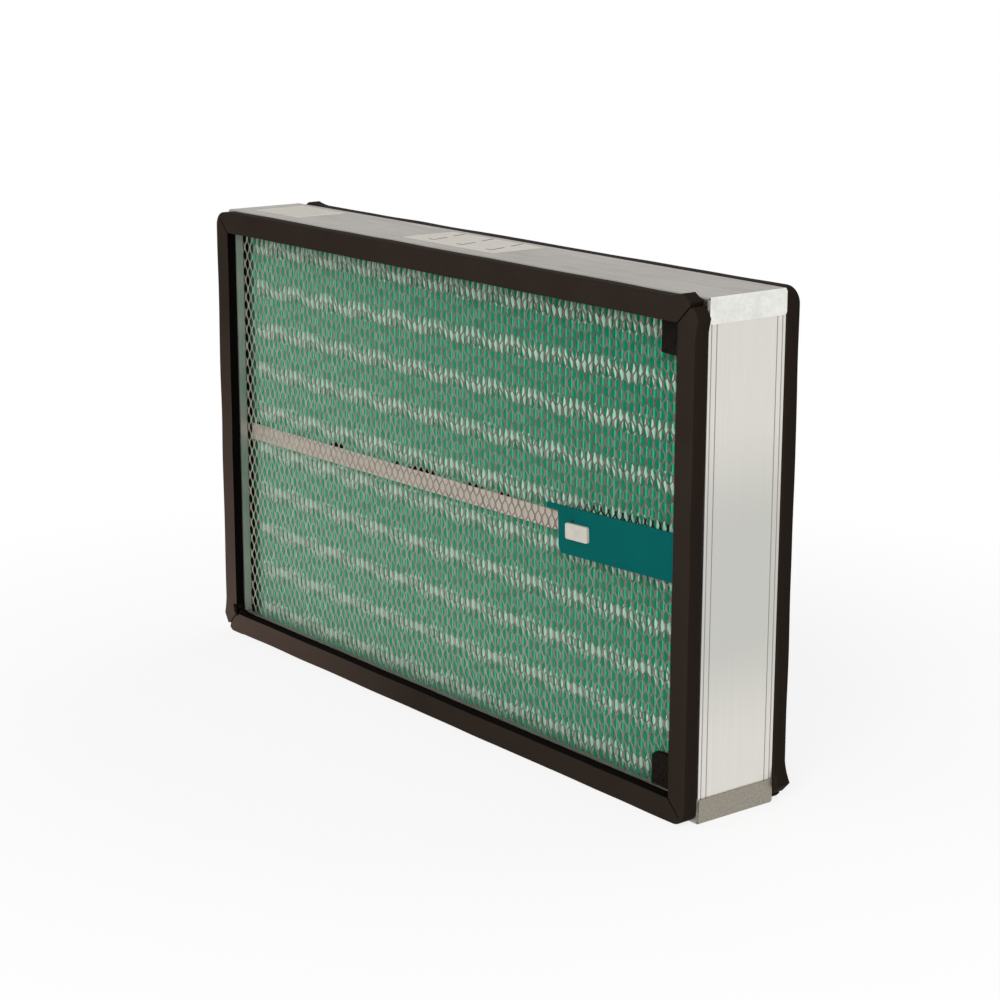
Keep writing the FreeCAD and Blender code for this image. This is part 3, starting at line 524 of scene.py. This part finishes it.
def makeGlueDrops(name, nodeName, side):
    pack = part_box("pleat_pack")
    tipWidth = 1.2 * mm
    pleatPitch = (pack[1].x - pack[0].x - tipWidth) / glueDrop["pleats"]
    # The front lines start a little way in from the left profile
    first = pack[0].x + tipWidth / 2 + pleatPitch * (glueDrop["dryPleats"] if side < 0 else 0.5)
    count = glueDrop["pleats"] - (glueDrop["dryPleats"] - 1 if side < 0 else 0)
    lowest = (glueDrop["middle"] - (glueDrop["lines"] - 1) / 2 * glueDrop["pitch"]) * mm
    bpy.ops.object.select_all(action="DESELECT")
    bpy.ops.mesh.primitive_uv_sphere_add(segments=8, ring_count=7, radius=1,
                                         location=(first, side * 21.4 * mm, lowest))
    drops = bpy.context.object
    drops.scale = (glueDrop["width"] / 2 * mm, glueDrop["depth"] / 2 * mm, glueDrop["height"] / 2 * mm)
    applyPlace(drops)
    bpy.ops.object.mode_set(mode="EDIT")
    # Pinching the rings next to the poles turns the egg into a leaf
    pick(drops, "VERT", lambda p: abs(p.z - lowest) > 0.3 * glueDrop["height"] * mm)
    bpy.ops.transform.resize(value=(0.7, 0.8, 1), center_override=(first, side * 21.4 * mm, lowest))
    bpy.ops.object.mode_set(mode="OBJECT")
    each = len(drops.data.vertices)
    applyModifier(drops, "ARRAY", {"count": count, "use_relative_offset": False, "use_constant_offset": True,
                                   "constant_offset_displace": (pleatPitch, 0, 0)})
    applyModifier(drops, "ARRAY", {"count": glueDrop["lines"], "use_relative_offset": False,
                                   "use_constant_offset": True,
                                   "constant_offset_displace": (0, 0, glueDrop["pitch"] * mm)})
    vertices = drops.data.vertices
    for start in range(0, len(vertices), each):
        column, row = start // each % count, start // each // count
        centre = Vector((first + column * pleatPitch, 0, lowest + row * glueDrop["pitch"] * mm))
        drift = noise.noise_vector(Vector((column * 0.37, row * 7.3, side)))
        swell = 1 + 0.22 * drift.y
        for vertex in vertices[start:start + each]:
            rise = (vertex.co.z - centre.z) * swell
            vertex.co.z = centre.z + rise + drift.z * glueDrop["wander"] * mm
            vertex.co.x = centre.x + (vertex.co.x - centre.x) * (1 + 0.2 * drift.x) - rise * glueDrop["lean"]
    selectOnly(drops)
    bpy.ops.object.shade_smooth()
    finishPiece(drops, name, hotMelt, [nodeName])
    return drops


frontDrops = makeGlueDrops("front_glue_drops", "front_glue_lines", -1)
rearDrops = makeGlueDrops("rear_glue_drops", "rear_glue_lines", 1)


# Foam strips: a copy of the cut shape with its long edges eased, divided along its run and left a little uneven
foamStrip = {"ease": 0.6, "division": 9, "wave": 0.4, "waveLength": 42, "innerX": 233.1, "innerZ": 138.1,
             "middle": 152.5, "seamEnd": 9.6, "flatEnd": "rear_gasket_right_top", "flatBefore": -223, "flatFrom": 304.6,
             "flatTo": 0.45}
foamPad = {"voxel": 0.8, "ease": 4, "wave": 0.25, "waveLength": 9}


def startFoam(name, nodeName):
    piece = bpy.data.objects.new(name, nodes[nodeName].data.copy())
    bpy.context.collection.objects.link(piece)
    selectOnly(piece)
    bpy.ops.object.mode_set(mode="EDIT")
    bpy.ops.mesh.select_all(action="SELECT")
    bpy.ops.mesh.remove_doubles(threshold=0.02 * mm)
    bpy.ops.mesh.dissolve_limited(angle_limit=math.radians(0.5))
    bpy.ops.object.mode_set(mode="OBJECT")
    return piece


# Moves each point a little, as soft foam wanders, and keeps it inside the box of its node
def wander(piece, nodeName, look):
    low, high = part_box(nodeName)
    for vertex in piece.data.vertices:
        push = noise.noise_vector(vertex.co / (look["waveLength"] * mm)) * look["wave"] * mm
        moved = vertex.co + push
        vertex.co = Vector([min(max(moved[i], low[i]), high[i]) for i in range(3)])


# True on the mitres, where the foam is slit from its inner corner and keeps a crisp cut
def isOnSlit(point):
    across = abs(point.x) - foamStrip["innerX"] * mm
    upward = abs(point.z - foamStrip["middle"] * mm) - foamStrip["innerZ"] * mm
    return abs(across - upward) < 0.6 * mm and across < foamStrip["seamEnd"] * mm


def makeFoamStrip(name, nodeName):
    piece = startFoam(name, nodeName)
    low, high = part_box(nodeName)
    bpy.ops.object.mode_set(mode="EDIT")
    if nodeName == foamStrip["flatEnd"]:  # this end lies flatter than the others
        pick(piece, "VERT", lambda p: p.x < foamStrip["flatBefore"] * mm and p.z > foamStrip["flatFrom"] * mm)
        bpy.ops.transform.resize(value=(1, 1, foamStrip["flatTo"]), center_override=(0, 0, foamStrip["flatFrom"] * mm))
    bpy.ops.mesh.select_mode(type="EDGE")
    bpy.ops.mesh.select_all(action="DESELECT")
    bpy.ops.object.mode_set(mode="OBJECT")
    points = [vertex.co.copy() for vertex in piece.data.vertices]
    for edge in piece.data.edges:
        ends = [points[i] for i in edge.vertices]
        onFace = any(all(abs(p.y - y) < 0.05 * mm for p in ends) for y in (low.y, high.y))
        edge.select = onFace and not all(isOnSlit(p) for p in ends)
    bpy.ops.object.mode_set(mode="EDIT")
    bpy.ops.mesh.bevel(offset=foamStrip["ease"] * mm, segments=2, clamp_overlap=False)
    step = foamStrip["division"] * mm
    for axis, normal in ((0, (1, 0, 0)), (2, (0, 0, 1))):
        for i in range(math.ceil(low[axis] / step), math.floor(high[axis] / step) + 1):
            bpy.ops.mesh.select_all(action="SELECT")
            bpy.ops.mesh.bisect(plane_co=Vector(normal) * i * step, plane_no=normal)
    bpy.ops.object.mode_set(mode="OBJECT")
    wander(piece, nodeName, foamStrip)
    selectOnly(piece)
    bpy.ops.object.shade_smooth_by_angle(angle=math.radians(38))
    finishPiece(piece, name, spongeRubber, [nodeName])


def makeFoamPad(name, nodeName):
    piece = startFoam(name, nodeName)
    applyModifier(piece, "REMESH", {"mode": "VOXEL", "voxel_size": foamPad["voxel"] * mm})
    applyModifier(piece, "SMOOTH", {"factor": 0.5, "iterations": foamPad["ease"]})
    wander(piece, nodeName, foamPad)
    selectOnly(piece)
    bpy.ops.object.shade_smooth()
    finishPiece(piece, name, blackFoam, [nodeName])


for nodeName in ("front_gasket_left_top", "front_gasket_right_bottom", "rear_gasket_right_top",
                 "rear_gasket_left_bottom"):
    makeFoamStrip(nodeName.replace("gasket", "foam"), nodeName)
for nodeName in ("upper_corner_pad", "lower_corner_pad"):
    makeFoamPad(nodeName + "_foam", nodeName)


# The clip: a moulded block with rounded corners and a dimple in its face
clipBlock = {"length": 20.2, "height": 9.9, "thickness": 2.0, "shiftX": -1.1, "shiftZ": -0.45, "tilt": 2.0,
             "corner": 1.3, "edge": 0.5, "rim": 0.3, "dimpleShift": -1.2, "dimpleWide": 2.6, "dimpleFloor": 0.55,
             "dimpleDepth": 0.35}


def makeClip():
    low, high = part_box("tab_clip")
    centre = (low + high) / 2 + Vector((clipBlock["shiftX"], 0, clipBlock["shiftZ"])) * mm
    centre.y = low.y + clipBlock["thickness"] / 2 * mm
    bpy.ops.object.select_all(action="DESELECT")
    bpy.ops.mesh.primitive_cube_add(size=1, location=(0, 0, 0))
    clip = bpy.context.object
    clip.scale = Vector((clipBlock["length"], clipBlock["thickness"], clipBlock["height"])) * mm
    applyPlace(clip)
    bpy.ops.object.mode_set(mode="EDIT")
    front = -clipBlock["thickness"] / 2 * mm
    pick(clip, "EDGE", lambda p: False)
    bpy.ops.object.mode_set(mode="OBJECT")
    for edge in clip.data.edges:
        ends = [clip.data.vertices[i].co for i in edge.vertices]
        edge.select = abs(ends[0].y - ends[1].y) > 1 * mm
    bpy.ops.object.mode_set(mode="EDIT")
    bpy.ops.mesh.bevel(offset=clipBlock["corner"] * mm, segments=3)
    pick(clip, "EDGE", lambda p: p.y < front + 0.1 * mm)
    bpy.ops.mesh.bevel(offset=clipBlock["edge"] * mm, segments=2)
    # A small rim keeps the shading of the face flat, and the face inside it is drawn in to the dimple
    pick(clip, "FACE", lambda c, n: n.y < -0.9 and c.y < front + 0.05 * mm)
    bpy.ops.mesh.inset(thickness=clipBlock["rim"] * mm)
    bpy.ops.mesh.extrude_region_move(TRANSFORM_OT_translate={"value": (0, 0, 0)})
    inner = 2 * (clipBlock["edge"] + clipBlock["rim"])
    bpy.ops.transform.resize(value=(clipBlock["dimpleWide"] / (clipBlock["length"] - inner), 1,
                                    clipBlock["dimpleWide"] / (clipBlock["height"] - inner)),
                             center_override=(0, front, 0))
    bpy.ops.transform.translate(value=(clipBlock["dimpleShift"] * mm, 0, 0))
    bpy.ops.mesh.extrude_region_move(TRANSFORM_OT_translate={"value": (0, clipBlock["dimpleDepth"] * mm, 0)})
    bpy.ops.transform.resize(value=(clipBlock["dimpleFloor"], 1, clipBlock["dimpleFloor"]),
                             center_override=(clipBlock["dimpleShift"] * mm, front, 0))
    bpy.ops.mesh.select_all(action="SELECT")
    bpy.ops.mesh.normals_make_consistent(inside=False)
    bpy.ops.object.mode_set(mode="OBJECT")
    clip.rotation_euler = (0, math.radians(-clipBlock["tilt"]), 0)
    clip.location = centre
    applyPlace(clip)
    bpy.ops.object.shade_smooth_by_angle(angle=math.radians(40))
    finishPiece(clip, "tab_clip_block", mouldedNylon, ["tab_clip"])


makeClip()

# Dark pieces on the top edge of the centre strip, which stand in as painted shade for the gaps where it stands off the
# pleats, and crumbs of brown foam in the lower left corner: for each, its place along X and its width, and in the
# corner its height above the base too
crumbsAndGapShades = {"places": ((-228, 2.6), (-224, 2.6), (-133.5, 1.8), (-127.8, 4.2), (-121.8, 4.0), (-57, 3.0),
                         (-41.8, 1.8), (-36.5, 3.4), (-29.8, 4.4), (-23.2, 4.4), (-16.5, 4.4), (22.8, 4.2),
                         (29, 4.2), (34.2, 1.8), (54.8, 4.2), (61.2, 2.6)),
              "corner": ((-232.4, 5.5, 19.5), (-230.2, 5.0, 15.6), (-226.6, 3.6, 14.4)),
              "tall": 0.8, "deep": 1.4, "cornerDeep": 5, "edgeZ": 155.8, "slope": 0.0117, "front": -22.2,
              "cornerFront": -36.5, "ragged": 0.3}


def makeCrumbsAndGapShades():
    bpy.ops.object.select_all(action="DESELECT")
    bpy.ops.mesh.primitive_uv_sphere_add(segments=8, ring_count=6, radius=0.5, location=(0, 0, 0))
    crumb = bpy.context.object
    bpy.ops.object.mode_set(mode="EDIT")
    pick(crumb, "VERT", lambda p: p.z < -0.2)
    bpy.ops.transform.resize(value=(1.15, 1.15, 0.5), center_override=(0, 0, -0.2))
    bpy.ops.object.mode_set(mode="OBJECT")
    spots = [(x, crumbsAndGapShades["front"], crumbsAndGapShades["edgeZ"] + crumbsAndGapShades["slope"] * x + width * 0.3, width,
              crumbsAndGapShades["deep"]) for x, width in crumbsAndGapShades["places"]]
    spots += [(x, crumbsAndGapShades["cornerFront"], z, width, crumbsAndGapShades["cornerDeep"])
              for x, width, z in crumbsAndGapShades["corner"]]
    crumbs = []
    for x, y, z, width, deep in spots:
        one = bpy.data.objects.new("crumb", crumb.data.copy())
        bpy.context.collection.objects.link(one)
        for vertex in one.data.vertices:
            vertex.co += noise.noise_vector(vertex.co * 3 + Vector((x, 0, 0))) * crumbsAndGapShades["ragged"]
        one.scale = Vector((width, deep, width * crumbsAndGapShades["tall"])) * mm
        one.location = Vector((x, y, z)) * mm
        crumbs.append(one)
    bpy.data.objects.remove(crumb)
    bpy.ops.object.select_all(action="DESELECT")
    for one in crumbs:
        one.select_set(True)
    bpy.context.view_layer.objects.active = crumbs[0]
    bpy.ops.object.join()
    piece = bpy.context.object
    applyPlace(piece)
    bpy.ops.object.shade_smooth()
    finishPiece(piece, "foam_crumbs_and_gap_shades", crumbAndGapShade, None)


makeCrumbsAndGapShades()

dressed = {"bottom_cap": galvanisedSheet, "top_cap": galvanisedSheet, "right_end_profile": millAluminium,
           "left_end_profile": millAluminium, "pleat_pack": filterPaper, "right_side_seal": castResin,
           "left_side_seal": castResin, "bottom_potting": castResin, "top_potting": castResin,
           "centre_strip": greyBoard, "pull_tab": tealPolypropylene, "label_left": coatedPaper,
           "label_centre": coatedPaper}
for nodeName, material in dressed.items():
    nodes[nodeName].data.materials.clear()
    nodes[nodeName].data.materials.append(material)
print("nodes dressed", len(dressed))

# Floor, light and camera
studio = {"floor": "#FFFFFF", "skyStrength": 0.4, "keyPower": 50, "fillPower": 8, "backPower": 14}
bpy.ops.object.select_all(action="DESELECT")
bpy.ops.mesh.primitive_plane_add(size=14, location=(0, 0, 0))
floor = bpy.context.object
floor.name = "floor"
paleFloor, tree, shader, coords = startMaterial("paleFloor", {"Base Color": toLinear("#F4F4F2"), "Roughness": 0.9})
distance = addNode(tree, "VectorMath", {"operation": "LENGTH"}, {0: coords})
fade = addNode(tree, "MapRange", {1: 0.25, 2: 0.6, 3: 0.82, 4: 1.0}, {0: distance.outputs["Value"]})
lightPath = addNode(tree, "LightPath")
share = addNode(tree, "Math", {"operation": "MULTIPLY"}, {0: lightPath.outputs["Is Camera Ray"], 1: fade.outputs[0]})
mirrored = addNode(tree, "Math", {"operation": "MAXIMUM"}, {0: lightPath.outputs["Is Glossy Ray"],
                                                           1: lightPath.outputs["Is Transmission Ray"]})
share = addNode(tree, "Math", {"operation": "MAXIMUM"}, {0: share.outputs[0], 1: mirrored.outputs[0]})
glow = addNode(tree, "Emission", {"Color": toLinear(studio["floor"]), "Strength": 1.0})
surface = addNode(tree, "MixShader", {}, {0: share.outputs[0], 1: tree.nodes["Principled BSDF"].outputs[0],
                                          2: glow.outputs[0]})
tree.links.new(surface.outputs[0], tree.nodes["Material Output"].inputs["Surface"])
floor.data.materials.append(paleFloor)

world = bpy.data.worlds.new("studio")
bpy.context.scene.world = world
world.use_nodes = True
tree = world.node_tree
lightPath = addNode(tree, "LightPath")
mirrored = addNode(tree, "Math", {"operation": "MAXIMUM"}, {0: lightPath.outputs["Is Glossy Ray"],
                                                           1: lightPath.outputs["Is Transmission Ray"]})
seen = addNode(tree, "Math", {"operation": "MAXIMUM"}, {0: lightPath.outputs["Is Camera Ray"], 1: mirrored.outputs[0]})
level = addNode(tree, "MapRange", {3: studio["skyStrength"], 4: 1.0}, {0: seen.outputs[0]})
sky = tree.nodes["Background"]
sky.inputs["Color"].default_value = (1, 1, 1, 1)
tree.links.new(level.outputs[0], sky.inputs["Strength"])


def addSoftLight(name, place, size, power):
    bpy.ops.object.light_add(type="AREA", location=place)
    lamp = bpy.context.object
    lamp.name = name
    lamp.data.shape = "SQUARE"
    lamp.data.size = size
    lamp.data.energy = power
    lamp.visible_glossy = False  # metal mirrors only the white surroundings, so no side of it burns out
    lamp.rotation_euler = (Vector((0, 0, 0.15)) - Vector(place)).to_track_quat("-Z", "Y").to_euler()


addSoftLight("keyLight", (1.5, -1.8, 1.25), 1.6, studio["keyPower"])
addSoftLight("fillLight", (-1.2, -2.2, 1.0), 1.6, studio["fillPower"])
addSoftLight("backLight", (-1.0, 2.3, 1.2), 1.8, studio["backPower"])

# The camera stands where the photograph was taken from, worked out from the corners of the frame
view = {"place": (1178.95, -901.87, 508.12), "azimuth": 51.99, "elevation": 13.97, "roll": 0.12, "lens": 85.18}
azimuth, elevation, roll = (math.radians(view[k]) for k in ("azimuth", "elevation", "roll"))
back = Vector((math.sin(azimuth) * math.cos(elevation), -math.cos(azimuth) * math.cos(elevation),
               math.sin(elevation)))
right = (-back).cross(Vector((0, 0, 1))).normalized()
up = right.cross(-back)
rolledRight = right * math.cos(roll) + up * math.sin(roll)
rolledUp = -right * math.sin(roll) + up * math.cos(roll)
bpy.ops.object.camera_add()
camera = bpy.context.object
camera.name = "photoCamera"
camera.matrix_world = Matrix.Translation(Vector(view["place"]) * mm) @ Matrix(
    (rolledRight, rolledUp, back)).transposed().to_4x4()
camera.data.sensor_width = 36
camera.data.lens = view["lens"]
bpy.context.scene.camera = camera
bpy.context.scene.view_settings.view_transform = "Standard"
print("studio set")
